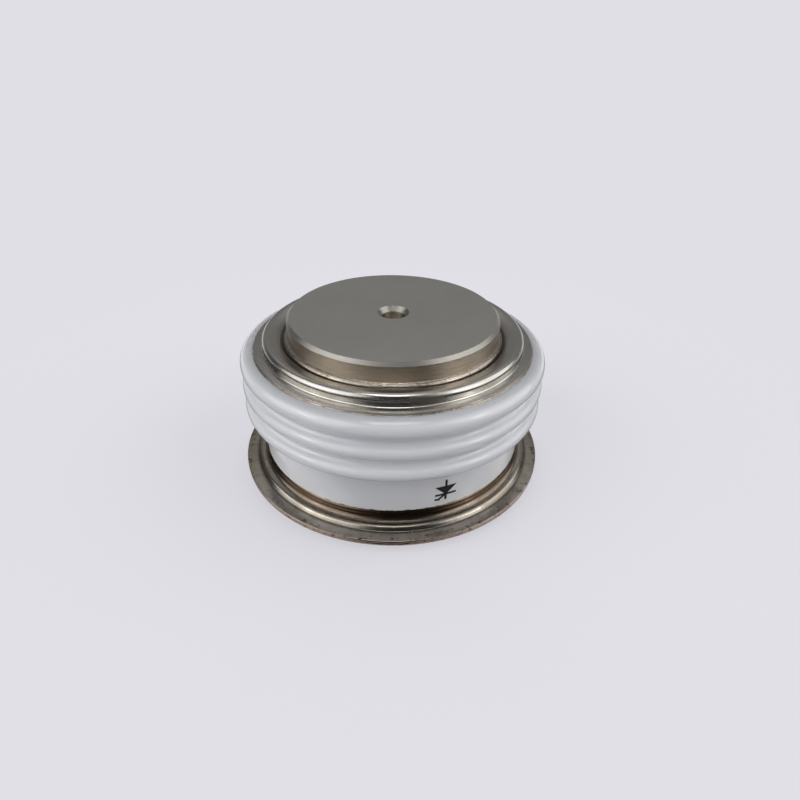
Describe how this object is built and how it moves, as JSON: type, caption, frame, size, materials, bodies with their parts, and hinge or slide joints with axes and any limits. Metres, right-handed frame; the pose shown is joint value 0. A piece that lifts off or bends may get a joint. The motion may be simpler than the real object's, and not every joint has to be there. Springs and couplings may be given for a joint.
{
  "type": "disc thyristor",
  "caption": "Sealed pressure-contact disc thyristor: ribbed white ceramic ring between plated copper poles, pressed sheet flanges and a gate tube.",
  "frame": {"origin": "centre of the cathode contact face, on the capsule's axis", "axes": "+Z along the capsule's axis towards the anode contact face, +Y towards the gate tube"},
  "size_m": [0.05, 0.05, 0.026],
  "materials": {
    "nickel_plated_copper": "satin nickel plate, fine turned and ground",
    "nickel_plated_sheet": "bright nickel plate on pressed sheet",
    "glazed_alumina": "clear gloss glaze on white alumina",
    "silicon": "lapped, aluminium metallised",
    "molybdenum": "lapped",
    "silver": "soft bright",
    "silicone_rubber": "moulded, translucent white",
    "fluoroplastic": "turned, waxy",
    "spring_steel": "drawn wire",
    "copper_wire": "drawn wire",
    "solder": "dull solder"
  },
  "bodies": {
    "root": {"anode_pole": "nickel_plated_copper", "anode_flange": "nickel_plated_sheet", "ceramic_ring": "glazed_alumina", "weld_ring": "nickel_plated_sheet", "cathode_flange": "nickel_plated_sheet", "cathode_pole": "nickel_plated_copper", "silicon_wafer": "silicon", "anode_molybdenum_disc": "molybdenum", "cathode_molybdenum_disc": "molybdenum", "anode_silver_foil": "silver", "cathode_silver_foil": "silver", "wafer_edge_rubber": "silicone_rubber", "centring_ring": "fluoroplastic", "gate_contact": "silver", "gate_spring": "spring_steel", "gate_bush": "fluoroplastic", "gate_lead": "copper_wire", "gate_lead_sleeve": "fluoroplastic", "gate_tube": "nickel_plated_sheet", "gate_tube_eyelet": "nickel_plated_sheet", "gate_tube_seal": "solder"}
  },
  "joints": []
}
